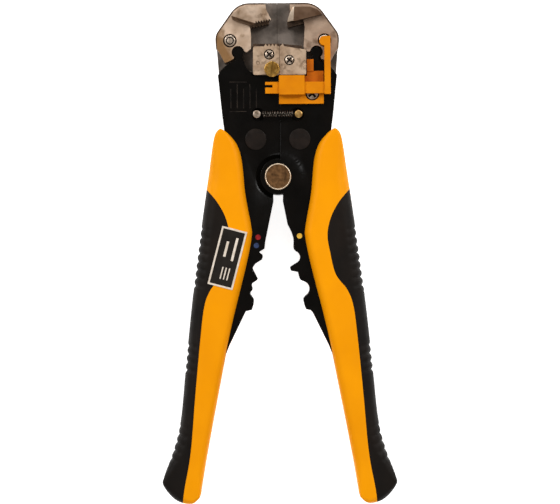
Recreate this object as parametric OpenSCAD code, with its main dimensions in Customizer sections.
// Self-adjusting wire stripper, lying on its back.
// +Z leaves the front face, +Y runs from the handles to the head, +X is the tool's right.
// The origin is on the axis of the main rivet, on the surface that the tool lies on.

/* [Head] */
// Half of the head's greatest width
head_half_w = 25.2; // [24.8:0.1:25.6]
// Height of the upper jaws' top edge above the main rivet
jaw_top_y = 70.9; // [70.6:0.1:71.2]
// Height of the frames' top edge above the main rivet
wall_top_y = 71.4; // [71.2:0.1:72]
// Distance of each jaw pin from the centre plane
jaw_pin_x = 19.3; // [19:0.1:19.6]
// Height of the jaw pins above the main rivet
jaw_pin_y = 55.6; // [55.5:0.1:55.7]
// Distance of each plate lobe from the centre plane
lobe_x = 16.0; // [15.8:0.1:16.2]
// Height of the plate lobes above the main rivet
lobe_y = 50.8; // [50.7:0.1:50.9]
// Radius of the round lobes that work the upper jaws
lobe_r = 2.1; // [2:0.1:2.2]
// Teeth on the upper gripping pad
upper_teeth = 6; // [4:1:8]
// Teeth on the lower gripper
lower_teeth = 4; // [3:1:5]

/* [Plates] */
// Thickness of the steel handle plates
plate_t = 2.0; // [1.6:0.1:2.1]
// Radius of the plate ears around the main rivet
ear_r = 7.3; // [7:0.1:7.5]
// Depth by which each plate is stepped at its ear
ear_step = 1.1; // [1.05:0.05:1.15]
// Place of the joint line between the left and right front plates
seam_x = 0.9; // [0.5:0.1:1.2]

/* [Rivet] */
// Radius of the main rivet's shank
rivet_r = 3.5; // [3:0.1:4]
// Radius of the main rivet's heads
rivet_head_r = 5.4; // [5:0.1:6]

/* [Grips] */
// Depth of the grips, front to back
grip_depth = 17.6; // [17.6:0.1:19]
// Width of the seam between the hard grip and the soft overmould
grip_seam = 0.3; // [0.2:0.05:0.5]

/* [Length stop] */
// Distance that the length stop slides outwards
stop_travel = 5.5; // [4:0.5:5.5]

/* [Fits] */
// Running clearance on a radius
run_gap = 0.05; // [0.03:0.01:0.08]
// Gap between flat pieces that pass each other
face_gap = 0.2; // [0.15:0.01:0.2]

/* [Hidden] */
$fn = 64;
mid_z = 8.8;
plate_z = 12.8;
plate_top = plate_z + plate_t;
frame_front = plate_z - face_gap;
frame_back = 2 * mid_z - frame_front;
web_back = 7.4;
web_front = 10.0;
cheek_gap = 0.3;
cheek_front = 14.8;
cheek_back = 1.2;
pad_front = 18.4;
cover_z = 16.9;
block_front = cover_z - 0.1;
stop_z = plate_top + face_gap;
block_w = 10.1;
eps = 0.01;
far = 200;
pin_pos = [jaw_pin_x, jaw_pin_y];
lobe_pos = [lobe_x, lobe_y];
stud_pos = [9.0, 15.3];
post_pos = [8.5, 25.4];
stop_screw_pos = [14.2, 33.8];
adjuster_pos = [-2.2, 43.5];
left_screw_pos = [-3.3, 49.6];
right_screw_pos = [4.9, 47.3];
socket_r = lobe_r + 0.4;
slip = [0.06, 0.09];
pin_r = 2.0;
pin_head_r = 2.35;
screw_r = 1.4;
cover_screw_r = 1.85;
cover_sink_r = 2.1;
cover_y = 41.3;
lower_top_y = 52.9;
block_top_y = 54.1;
stop_top = 19.4;
bar_y = [33.7, 38.4];
bar_z = [16.8, 18.6];
bar_left = -5.0;
arm_x = [19.1, 21.6];

// ---- Curves -------------------------------------------------------------

// Points of an arc about c, from angle a0 to a1
function arc(c, r, a0, a1, steps = 12) =
    [for (i = [0:steps]) c + r * [cos(a0 + (a1 - a0) * i / steps), sin(a0 + (a1 - a0) * i / steps)]];

// A point on the smooth curve between b and c, with a and d as neighbours
function between(a, b, c, d, t) =
    0.5 * (2 * b + (c - a) * t + (2 * a - 5 * b + 4 * c - d) * t * t + (3 * b - a - 3 * c + d) * t * t * t);

// A smooth open curve through all points of p
function curve(p, steps = 5) = [
    for (i = [0:len(p) - 2]) for (s = [0:steps - 1])
        between(p[max(i - 1, 0)], p[i], p[i + 1], p[min(i + 2, len(p) - 1)], s / steps),
    p[len(p) - 1]
];

// Corner points of a row of pointed teeth from a to b, on the side that side = 1 or -1 names
function teeth(a, b, count, depth, side) =
    let (step = (b - a) / count, up = side * depth * [-step[1], step[0]] / norm(step))
    [for (i = [0:count - 1]) for (k = [0, 1]) a + step * (i + k * 0.5) + (k == 0 ? [0, 0] : up)];

// ---- Shared shapes ------------------------------------------------------

// The left half is drawn; the right half is its mirror image
module on_side(right) {
    mirror([right ? 1 : 0, 0, 0]) children();
}

module slab(z0, z1) {
    translate([0, 0, z0]) linear_extrude(z1 - z0) children();
}

module rod(pos, r, z0, z1) {
    translate([pos[0], pos[1], z0]) cylinder(r = r, h = z1 - z0);
}

function left(p) = [-p[0], p[1]];

module cross_recess(z, reach, depth) {
    for (turn = [20, 110])
        rotate(turn) translate([-reach, -0.3, z - depth]) cube([2 * reach, 0.6, depth + eps]);
}

// Pan head screw with a cross recess, head seated at z
module cross_screw(pos, shank_r, head_r, head_h, z, length) {
    translate([pos[0], pos[1], z]) difference() {
        rotate_extrude() polygon(concat(
            [[0, -length], [shank_r, -length], [shank_r, 0], [head_r, 0]],
            arc([head_r - 0.5, head_h - 0.5], 0.5, 0, 90, 5),
            [[0, head_h]]
        ));
        cross_recess(head_h, 0.68 * head_r, 0.7 * head_h);
    }
}

// ---- Handle plates ------------------------------------------------------

// Round lobe on its neck, with the shoulders that lead down to the plate's outer edge
module lobe_outline() {
    translate(left(lobe_pos)) circle(lobe_r);
    polygon([
        [-24.3, 41.4], [-23.1, 43.4], [-21.2, 45.3], [-18.8, 46.6], [-17.3, 47.2], [-17.0, 48.2],
        [-17.1, 50.0], [-14.7, 50.0], [-13.9, 48.0], [-13.2, 45.6], [-11.9, 43.5], [-10.6, 42.6],
        [-10.6, 41.3], [-12, 38]
    ]);
}

outer_edge = [
    [-24.3, 41.4], [-24.2, 40.6], [-23.5, 34.0], [-22.6, 25], [-21.8, 19], [-21.9, 14], [-24.0, 2],
    [-25.8, -10], [-28.4, -36], [-31.6, -62], [-33.0, -78]
];

// Inner edge of the left plate: straight land, then the crimp nests
left_nests = concat(
    [
        [-2.0, -8.2], [-1.95, -9.7], [-4.4, -21.3], [-5.4, -26.2], [-5.75, -29.3], [-7.8, -30.5],
        [-7.8, -30.9], [-6.6, -31.7], [-6.5, -32.8], [-6.9, -33.8], [-9.6, -35.5]
    ],
    arc([-9.2, -37.3], 1.4, 130, 215, 6),
    [
        [-8.6, -41.5], [-8.8, -42.1], [-10.8, -43.4], [-11.1, -44.1], [-10.75, -45.4], [-10.85, -46.2],
        [-11.6, -47.3], [-11.7, -47.9], [-10.5, -49.5], [-10.2, -50.4], [-10.4, -52.2], [-11.0, -54.2],
        [-13.5, -54.8], [-20.4, -69.0], [-24.0, -78.0]
    ]
);

// Inner edge of the right plate, drawn on the left: its two round nests face the left plate's
right_nests = concat(
    [
        [-1.95, -8.2], [-1.9, -9.7], [-3.8, -19.4], [-4.6, -20.9], [-5.4, -22.6], [-6.1, -24.9],
        [-6.2, -26.5], [-6.1, -28.5], [-6.3, -29.6]
    ],
    arc([-6.3, -32.85], 2.5, 110, 245, 8),
    [
        [-4.75, -36.7], [-4.7, -37.4], [-5.1, -38.4], [-7.9, -38.9], [-8.5, -41.4], [-9.0, -42.2]
    ],
    arc([-9.4, -45.8], 3.2, 107, 240, 8),
    [
        [-10.1, -49.6], [-10.05, -50.6], [-10.6, -52.8], [-11.1, -54.1], [-13.0, -54.5], [-13.9, -55.6],
        [-20.4, -69.0], [-24.0, -78.0]
    ]
);

module plate_outline(right) {
    edge_x = right ? -(seam_x + 0.05) : seam_x - 0.05;
    nests = right ? right_nests : left_nests;
    lobe_outline();
    polygon(concat(
        outer_edge,
        [for (i = [len(nests) - 1:-1:0]) nests[i]],
        [[-2.0, -4], [edge_x, 0], [edge_x, 41.3], [-12, 41.3]]
    ));
}

// Radius at which the slope round a plate's ear ends
function ear_slope_r(right) = right ? ear_r + 4.2 : ear_r + 2.5;

// Stepped round ear: the right ear rises over the left one
module ear(right) {
    inner = right ? ear_r + 1.3 : ear_r + 0.7;
    outer = ear_slope_r(right);
    rise = right ? ear_step : -ear_step;
    rotate_extrude() polygon([
        [rivet_r + run_gap, rise], [inner, rise], [outer, 0],
        [outer, plate_t], [inner, plate_t + rise], [rivet_r + run_gap, plate_t + rise]
    ]);
}

module handle_plate(right) {
    outer = ear_slope_r(right);
    difference() {
        linear_extrude(plate_t) plate_outline(right);
        translate([0, 0, -eps]) cylinder(r = outer, h = plate_t + 2 * eps);
    }
    intersection() {
        ear(right);
        translate([0, 0, -ear_step]) linear_extrude(plate_t + 2 * ear_step) union() {
            circle(ear_r);
            plate_outline(right);
        }
    }
}

module stud_bore() {
    translate([0, 0, -eps]) rod(left(stud_pos), 2.6 + eps, 0, plate_t + 2 * eps);
}

module front_plate(right) {
    on_side(right) translate([0, 0, plate_z]) difference() {
        handle_plate(right);
        stud_bore();
        // The spring post sways in this hole as the handle moves
        rod([0.55 - post_pos[0], post_pos[1]], 2.7, -eps, plate_t + eps);
        if (right)
            rod([0.8 - stop_screw_pos[0], stop_screw_pos[1]], 3.4, -eps, plate_t + eps);
    }
}

module back_plate(right) {
    on_side(right) translate([0, 0, 2 * mid_z - plate_z]) mirror([0, 0, 1]) difference() {
        handle_plate(right);
        stud_bore();
    }
}

// Shallow scale lines on the left front plate
module scale_lines() {
    for (i = [0:4])
        translate([-19.2 + 2.6 * i, 28, plate_top - 0.15]) cube([0.3, 8 + (i % 2) * 2, 1]);
    for (y = [26.6, 38.6])
        translate([-19.6, y, plate_top - 0.15]) cube([7, 0.3, 1]);
}

module left_front_plate() {
    color("#14100e") difference() {
        front_plate(false);
        scale_lines();
    }
}

module right_front_plate() {
    color("#14100e") front_plate(true);
}

module left_back_plate() {
    color("#14100e") back_plate(false);
}

module right_back_plate() {
    color("#14100e") back_plate(true);
}

module spacer_stud(right) {
    back = 2 * mid_z - plate_top;
    head = 0.5;
    on_side(right) translate([-stud_pos[0], stud_pos[1], 0]) rotate_extrude() polygon(concat(
        [[0, back - head], [4.0, back - head], [4.35, back], [2.6, back]],
        [[2.6, plate_top], [4.35, plate_top]],
        arc([4.05, plate_top + head - 0.3], 0.3, 0, 90, 4),
        [[0, plate_top + head]]
    ));
}

module left_spacer_stud() {
    color("#292522") spacer_stud(false);
}

module right_spacer_stud() {
    color("#292522") spacer_stud(true);
}

// ---- Main rivet and springs ---------------------------------------------

module main_rivet() {
    front = plate_top + ear_step + 0.1;
    back = 2 * mid_z - front;
    head = 1.6;
    rim = 0.6;
    color("#5a4128") rotate_extrude() polygon(concat(
        [[0, back - head]],
        arc([rivet_head_r - rim, back - head + rim], rim, 270, 360, 5),
        [[rivet_head_r, back], [rivet_r, back], [rivet_r, front], [rivet_head_r, front]],
        arc([rivet_head_r - rim, front + head - rim], rim, 0, 90, 5),
        [[4.2, front + head - 0.2], [0, front + head - 0.2]]
    ));
}

// Hairpin that bears on the two handles and opens them
module handle_return_spring() {
    wire = 0.5;
    bend = 4.8;
    leg = 26;
    splay = 15;
    color("#8c8a86") translate([0, 0, mid_z]) {
        rotate_extrude(angle = 180) translate([bend, 0]) circle(wire);
        for (s = [-1, 1]) translate([s * bend, 0, 0]) {
            sphere(wire);
            rotate([90, 0, s * splay]) cylinder(r = wire, h = leg);
        }
    }
}

module tension_spring() {
    z = 16.7;
    coil_r = 1.75;
    coil_half = 6.5;
    wire = 0.3;
    color("#9a958e") translate([0, post_pos[1], z]) {
        rotate([0, 90, 0]) translate([0, 0, -coil_half]) cylinder(r = coil_r, h = 2 * coil_half);
        for (s = [-1, 1]) {
            translate([s * post_pos[0], 0, 0]) rotate_extrude() translate([1.25, 0]) circle(wire);
            translate([min(s * 6.4, s * 7.5), 0, 0]) rotate([0, 90, 0]) cylinder(r = wire, h = 1.1);
        }
    }
}

module spring_post(right) {
    on_side(right) translate([-post_pos[0], post_pos[1], 0]) rotate_extrude() polygon([
        [0, frame_back + 1.5], [1.2, frame_back + 1.5], [1.2, 15.9], [0.85, 16.2], [0.85, 17.2],
        [1.6, 17.3], [1.6, 17.9], [1.3, 18.2], [0, 18.2]
    ]);
}

module left_spring_post() {
    color("#c8b8a0") spring_post(false);
}

module right_spring_post() {
    color("#b09468") spring_post(true);
}

// ---- Grips --------------------------------------------------------------

grip_inner = curve([
    [-23.4, 19.8], [-20.5, 17.9], [-16.6, 13.1], [-14.6, 6.2], [-13.3, -7.0], [-11.0, -20.0],
    [-10.9, -25.0], [-13.2, -36.5], [-19.7, -62.7], [-25.0, -89.0], [-30.0, -115.2], [-32.6, -130.6]
]);
grip_outer = curve([
    [-32.6, -130.6], [-36.2, -133.2], [-42.6, -131.6], [-47.5, -125.6], [-47.1, -121.6], [-43.6, -111.9],
    [-40.4, -99.0], [-38.1, -76.0], [-35.3, -49.6], [-31.9, -23.4], [-28.1, 2.9], [-25.9, 16.4],
    [-23.4, 19.8]
]);

module grip_outline() {
    polygon(concat(grip_inner, grip_outer));
}

// Everything outside the line where the soft overmould begins
module overmould_side() {
    line = curve([
        [-33.0, -0.8], [-28.7, -5.6], [-25.0, -10.0], [-22.0, -15.2], [-20.3, -20.6], [-20.0, -25.2],
        [-21.0, -31.0],
        [-23.2, -39.8], [-28.0, -46.4], [-30.4, -53.2], [-32.0, -66.0], [-34.2, -89.0], [-36.2, -112.0],
        [-39.0, -128.0], [-39.8, -136.0]
    ]);
    polygon(concat(line, [[-60, -136], [-60, -0.8]]));
}

// Room for the two steel arms inside the grip, open along its inner edge
module arm_room() {
    slab(2 * mid_z - plate_top - 0.1, plate_top + 0.1) polygon([
        [-22.1, 22], [-22.2, 14], [-24.3, 2], [-26.1, -10], [-28.7, -36], [-31.9, -62], [-33.3, -78.3],
        [-23.7, -78.3], [-14, -62], [-5, -40], [-5, 22]
    ]);
}

module hard_grip(right) {
    on_side(right) difference() {
        slab(0, grip_depth) difference() {
            grip_outline();
            overmould_side();
        }
        arm_room();
    }
}

module soft_grip(right) {
    on_side(right) difference() {
        slab(0, grip_depth) intersection() {
            grip_outline();
            translate([-grip_seam, 0]) overmould_side();
        }
        arm_room();
    }
}

module left_grip() {
    color("#f59e00") hard_grip(false);
}

module right_grip() {
    color("#f59e00") hard_grip(true);
}

module left_overmould() {
    color("#1e1814") soft_grip(false);
}

module right_overmould() {
    color("#1e1814") soft_grip(true);
}

module grip_label() {
    size = [10.5, 24.3];
    color("#1a1714") translate([-20.8, -33.0, grip_depth]) rotate(-14.8)
        translate([-size[0] / 2, -size[1] / 2, 0]) cube([size[0], size[1], 0.25]);
}

module crimp_mark(pos) {
    rod(pos, 1.1, plate_top, plate_top + 0.12);
}

module red_crimp_mark() {
    color("#8a1c1c") crimp_mark([-8.3, -24.6]);
}

module blue_crimp_mark() {
    color("#2a3a5c") crimp_mark([-9.0, -28.0]);
}

module yellow_crimp_mark() {
    color("#c39e40") crimp_mark([8.6, -24.2]);
}

// ---- Frames -------------------------------------------------------------

// Left half of the head's silhouette, drawn in by inset at its sides
module head_outline(inset = 0) {
    w = head_half_w - inset;
    corner = 9.0;
    shoulder = 5.3;
    polygon(concat(
        [[0, 40], [0, jaw_top_y]],
        arc([-11.4, jaw_top_y - corner], corner, 90, 144.5, 6),
        arc([shoulder - w, 56.3], shoulder, 144.5, 180, 4),
        [[-w, 55.4], [-w + 1.2, 40]]
    ));
}

// Flat wall behind the wire: it clears the sweep of the upper jaw's bridge
module web_outline() {
    middle_w = 5.2;
    intersection() {
        union() {
            head_outline(0.2);
            translate([-middle_w, 60]) square([middle_w, wall_top_y - 60]);
        }
        polygon(concat(
            [[-0.03, 40], [-0.03, wall_top_y], [-middle_w, wall_top_y], [-middle_w, 70.1], [-6.3, 69.0]],
            arc(left(pin_pos), 10.5, 45, 170, 14),
            [[-30, 52], [-30, 40]]
        ));
    }
}

module frame_body_outline() {
    polygon([
        [-0.1, 1.5], [-9.5, 1.5], [-14.5, 12.5], [-19.0, 22.0], [-22.0, 30.0], [-23.4, 43.4],
        [-0.1, 43.4]
    ]);
}

module frame(right) {
    low_ear = [frame_back + 1.1, mid_z - 0.7];
    high_ear = [mid_z + 0.7, frame_front - 1.1];
    ear_z = right ? low_ear : high_ear;
    room_r = ear_r + 1.6;
    relief_r = ear_r + 3.1;
    block_in = right ? seam_x + 0.05 : 0.03;
    difference() {
        union() {
            on_side(right) {
                difference() {
                    slab(frame_back, frame_front) frame_body_outline();
                    rod([0, 0], relief_r, frame_back - eps, ear_z[0]);
                    rod([0, 0], relief_r, ear_z[1], frame_front + eps);
                    rod([0, 0], room_r, frame_back - eps, frame_front + eps);
                }
                rod([0, 0], ear_r, ear_z[0], ear_z[1]);
                slab(ear_z[0], ear_z[1]) intersection() {
                    circle(relief_r);
                    polygon([[-0.1, 0], [-0.1, 20], [-20, 20], [-20, 0]]);
                }
                slab(web_back, web_front) web_outline();
                translate([-block_w, 41.8, web_front - eps])
                    cube([block_w - block_in, 5.1, block_front - web_front + eps]);
            }
            if (!right)
                translate([-0.1, 43.6, web_front + 0.25])
                    cube([seam_x + 0.05, 3.3, block_front - web_front - 0.25]);
        }
        frame_bores(right);
    }
}

module frame_bores(right) {
    side = right ? 1 : -1;
    screw = right ? right_screw_pos : left_screw_pos;
    rod([0, 0], rivet_r + run_gap, 0, far);
    rod([side * pin_pos[0], pin_pos[1]], pin_r + eps, 0, far);
    // The stud sways in this hole as the handle moves
    rod([side * (stud_pos[0] + 0.38), stud_pos[1]], 3.5, 0, far);
    rod([side * post_pos[0], post_pos[1]], 1.2 + eps, frame_back + 1.5, far);
    rod(screw, screw_r + eps, web_back - 1, far);
    if (right)
        rod(stop_screw_pos, screw_r + eps, frame_back + 2, far);
    else
        rod(adjuster_pos, 1.3 + run_gap, 11, far);
}

module left_frame() {
    color("#6b645f") frame(false);
}

module right_frame() {
    color("#6b645f") frame(true);
}

// ---- Lower jaws and covers ----------------------------------------------

module left_cover_outline() {
    first = [seam_x - 0.7, lower_top_y];
    last = first - [1.4 * lower_teeth, 0];
    polygon(concat(
        [[seam_x - 0.05, cover_y], [seam_x - 0.05, lower_top_y]],
        teeth(first, last, lower_teeth, 1.1, -1),
        [last],
        arc([-9.1, lower_top_y - 0.8], 0.8, 90, 180, 4),
        arc([-9.1, cover_y + 0.8], 0.8, 180, 270, 4)
    ));
}

module right_cover_outline() {
    polygon(concat(
        [[seam_x + 0.05, cover_y], [seam_x + 0.05, lower_top_y - 0.2], [seam_x + 1.4, lower_top_y + 1.1],
        [seam_x + 1.9, lower_top_y], [seam_x + 4.8, lower_top_y - 0.5]],
        arc([10.9, lower_top_y - 2.1], 0.8, 80, 0, 4),
        arc([10.9, cover_y + 0.8], 0.8, 0, -90, 4)
    ));
}

module left_lower_gripper() {
    color("#b9a592") difference() {
        slab(web_front + 0.25, block_front)
            polygon([[seam_x - 0.05, 47], [seam_x - 0.05, block_top_y], [-9.9, block_top_y], [-9.9, 47]]);
        rod(left_screw_pos, screw_r + eps, web_front, far);
    }
}

module right_lower_blade() {
    color("#b9a592") difference() {
        slab(web_front, block_front)
            polygon([
                [seam_x + 0.05, 47], [seam_x + 0.05, block_top_y], [block_w, block_top_y - 0.9], [block_w, 47]
            ]);
        rod(right_screw_pos, screw_r + eps, web_front - eps, far);
    }
}

module left_cover_plate() {
    color("#b9a592") difference() {
        slab(cover_z - 0.1, pad_front) left_cover_outline();
        rod(left_screw_pos, screw_r + eps, cover_z - 1, far);
        rod(left_screw_pos, cover_sink_r, pad_front - 0.8, far);
        rod(adjuster_pos, 1.3 + run_gap, cover_z - 1, far);
        rod([-7.9, 46.2], 0.7, pad_front - 0.3, far);
    }
}

module right_cover_plate() {
    color("#b5998a") difference() {
        slab(cover_z - 0.1, pad_front) right_cover_outline();
        rod(right_screw_pos, screw_r + eps, cover_z - 1, far);
        rod(right_screw_pos, cover_sink_r, pad_front - 0.8, far);
        rod([11.0, 46.4], 0.7, pad_front - 0.3, far);
    }
}

module left_cover_screw() {
    color("#a89a8c") cross_screw(left_screw_pos, screw_r, cover_screw_r, 1.0, pad_front - 0.8, 9.2);
}

module right_cover_screw() {
    color("#a89a8c") cross_screw(right_screw_pos, screw_r, cover_screw_r, 1.0, pad_front - 0.8, 9.2);
}

// Brass screw that sets how hard the blades bite
module adjuster_screw() {
    head_r = 3.2;
    knurls = 24;
    seat = pad_front + 0.1;
    color("#8b6934") translate([adjuster_pos[0], adjuster_pos[1], 0]) difference() {
        union() {
            translate([0, 0, 11.2]) cylinder(r = 1.3, h = seat - 11.2 + eps);
            translate([0, 0, seat]) cylinder(r = head_r, h = 1.5);
            translate([0, 0, seat + 1.5]) cylinder(r1 = head_r, r2 = head_r - 0.4, h = 0.4);
        }
        for (i = [0:knurls - 1])
            rotate(360 * i / knurls) translate([head_r, 0, seat - eps]) cylinder(r = 0.2, h = 2.2, $fn = 6);
        rotate(75) translate([-far / 2, -0.4, seat + 1.2]) cube([far, 0.8, 1]);
    }
}

// ---- Upper jaws ---------------------------------------------------------

// Cheek of an upper jaw: silhouette, socket for the lobe and tail behind it
module jaw_outline(right) {
    throat = right
        ? [[-11.0, 57.5], [-11.2, 61.0], [-10.7, 64.0], [-5.2, 65.2]]
        : [[-10.6, 57.5], [-10.9, 60.6], [-11.2, 61.4], [-4.2, 64.6]];
    difference() {
        intersection() {
            head_outline();
            polygon(concat(
                [[-5.2, 80], [-40, 80], [-40, 52.8], [-24.8, 52.3], [-23.9, 51.2], [-22.7, 48.9]],
                [[-21.4, 46.4], [-17.8, 48.1], [-17.0, 52], [-14.0, 52], [-13.1, 50.9], [-12.4, 50.9]],
                [[-10.6, 52.2]],
                throat
            ));
        }
        // Moved towards the pin, because the lobe slips that way as the jaw turns
        translate(left(lobe_pos + slip)) circle(socket_r);
    }
}

module upper_jaw(right) {
    bridge_r = 11;
    on_side(right) difference() {
        union() {
            slab(web_front + cheek_gap, cheek_front) jaw_outline(right);
            slab(cheek_back, web_back - cheek_gap) jaw_outline(right);
            // Bridge over the top of the frame's wall
            slab(web_back - 1, web_front + 1) difference() {
                intersection() {
                    head_outline();
                    polygon([left(pin_pos), left(pin_pos) + [6.4, 18], left(pin_pos) + [-9, 18]]);
                }
                translate(left(pin_pos)) circle(bridge_r);
            }
        }
        rod(left(pin_pos), pin_r + run_gap, 0, far);
        rod(left(pin_pos), pin_head_r + 0.35, cheek_front - 1.5, far);
    }
}

module left_upper_jaw() {
    color("#b69f8c") upper_jaw(false);
}

module right_upper_jaw() {
    color("#9f8776") upper_jaw(true);
}

module jaw_pin(right) {
    rear_head_r = 3.4;
    head_z = cheek_front - 1.4;
    on_side(right) translate([-pin_pos[0], pin_pos[1], 0]) rotate_extrude() polygon(concat(
        [[0, 0]],
        arc([rear_head_r - 0.5, 0.5], 0.5, 270, 360, 4),
        [
            [rear_head_r, cheek_back - 0.1], [pin_r, cheek_back - 0.1], [pin_r, head_z],
            [pin_head_r, head_z], [pin_head_r, head_z + 1.0], [pin_head_r - 0.3, head_z + 1.3],
            [1.3, head_z + 1.3], [1.1, head_z + 0.8], [0, head_z + 0.8]
        ]
    ));
}

module left_jaw_pin() {
    color("#c0b3a4") jaw_pin(false);
}

module right_jaw_pin() {
    color("#c0b3a4") jaw_pin(true);
}

module left_gripping_pad() {
    front_a = [-2.6, 63.3];
    front_b = [-9.0, 62.3];
    back_a = [-3.4, 62.0];
    back_b = [-10.6, 60.6];
    color("#b69e8a") {
        slab(cheek_front, pad_front) polygon(concat(
            [[-18.6, 65.4], [-15.3, 68.4], [-12.2, 69.3], [-5.2, 69.3], [-2.5, 63.9]],
            teeth(front_a, front_b, upper_teeth, 0.9, -1),
            [front_b]
        ));
        // Foot of the sloped flank under the pad
        slab(cheek_front, cheek_front + 1.6)
            polygon([[-18.6, 65.4], [-18.2, 64.0], [-11.0, 61.4], [-9.0, 62.3], [-9.0, 66]]);
        slab(web_front + cheek_gap, cheek_front) polygon(concat(
            [[-11.2, 61.4], [-4.2, 64.6], [-3.0, 64.0]],
            teeth(back_a, back_b, upper_teeth, 0.7, -1),
            [back_b]
        ));
    }
}

module right_upper_blade() {
    color("#634c3a") {
        slab(cheek_front, pad_front) polygon([
            [18.9, 66.0], [16.7, 68.2], [13.4, 69.3], [6.3, 69.3], [4.9, 66.2], [4.1, 63.1], [6.6, 62.9]
        ]);
        slab(web_front + cheek_gap, cheek_front) polygon([
            [10.7, 64.0], [5.2, 65.2], [4.0, 63.6], [4.2, 60.7], [10.9, 62.5]
        ]);
    }
}

// ---- Length stop --------------------------------------------------------

module stop_holder() {
    boss_r = 2.3;
    flange_top = bar_z[0] - 0.1;
    wing_top = flange_top - 0.6;
    color("#dc8400") difference() {
        union() {
            slab(stop_z, flange_top) translate([0.6, 29.6]) square([18.2, 11.4]);
            slab(stop_z, stop_top) translate([0.6, 33.2]) square([10.4, 7.8]);
            // Wing and tab above the slider
            slab(stop_z, wing_top) translate([11.95, 40.9]) square([6.85, 2.1]);
            slab(stop_z, wing_top + 0.4) translate([11.95, 42.9]) square([2.8, 4.8]);
            rod(stop_screw_pos, boss_r, frame_front, stop_z + eps);
        }
        // Channel that the slider runs in
        translate([-far / 2, bar_y[0] - 0.1, bar_z[0] - 0.1])
            cube([far, bar_y[1] - bar_y[0] + 0.2, bar_z[1] - bar_z[0] + 0.2]);
        translate([11.0, bar_y[1] + 0.1, wing_top]) cube([8, 3, 1]);
        rod(stop_screw_pos, screw_r + eps, 0, far);
        rod(stop_screw_pos, 2.9, stop_z + 0.6, far);
    }
}

module stop_screw() {
    color("#a09488") cross_screw(stop_screw_pos, screw_r, 2.6, 0.95, stop_z + 0.6, 8);
}

module hook_outline() {
    hook_r = 1.9;
    hook_c = [17.1 + hook_r, 55.0];
    translate(hook_c) circle(hook_r);
    translate([hook_c[0], hook_c[1] - hook_r]) square([arm_x[1] - hook_c[0], 2 * hook_r]);
}

module stop_slider() {
    slit = [3.0, 1.1];
    color("#e59400") {
        slab(bar_z[0], bar_z[1]) difference() {
            translate([bar_left, bar_y[0]]) square([arm_x[1] - bar_left - 1, bar_y[1] - bar_y[0]]);
            // Slit that lets the two prongs spring together
            translate([bar_left - eps, 36.1]) square(slit);
        }
        slab(bar_z[0], stop_top) union() {
            translate([arm_x[0], bar_y[0] - 0.3]) square([arm_x[1] - arm_x[0], 20]);
            hook_outline();
        }
        slab(15.4, bar_z[0] + eps) hook_outline();
    }
}

// ---- The nodes ----------------------------------------------------------

main_rivet();
handle_return_spring();
left_front_plate();
right_front_plate();
left_back_plate();
right_back_plate();
left_spacer_stud();
right_spacer_stud();
left_grip();
right_grip();
left_overmould();
right_overmould();
grip_label();
red_crimp_mark();
blue_crimp_mark();
yellow_crimp_mark();
left_frame();
right_frame();
left_spring_post();
right_spring_post();
tension_spring();
left_lower_gripper();
right_lower_blade();
left_cover_plate();
right_cover_plate();
left_cover_screw();
right_cover_screw();
adjuster_screw();
left_jaw_pin();
right_jaw_pin();
left_upper_jaw();
right_upper_jaw();
left_gripping_pad();
right_upper_blade();
stop_holder();
stop_slider();
stop_screw();
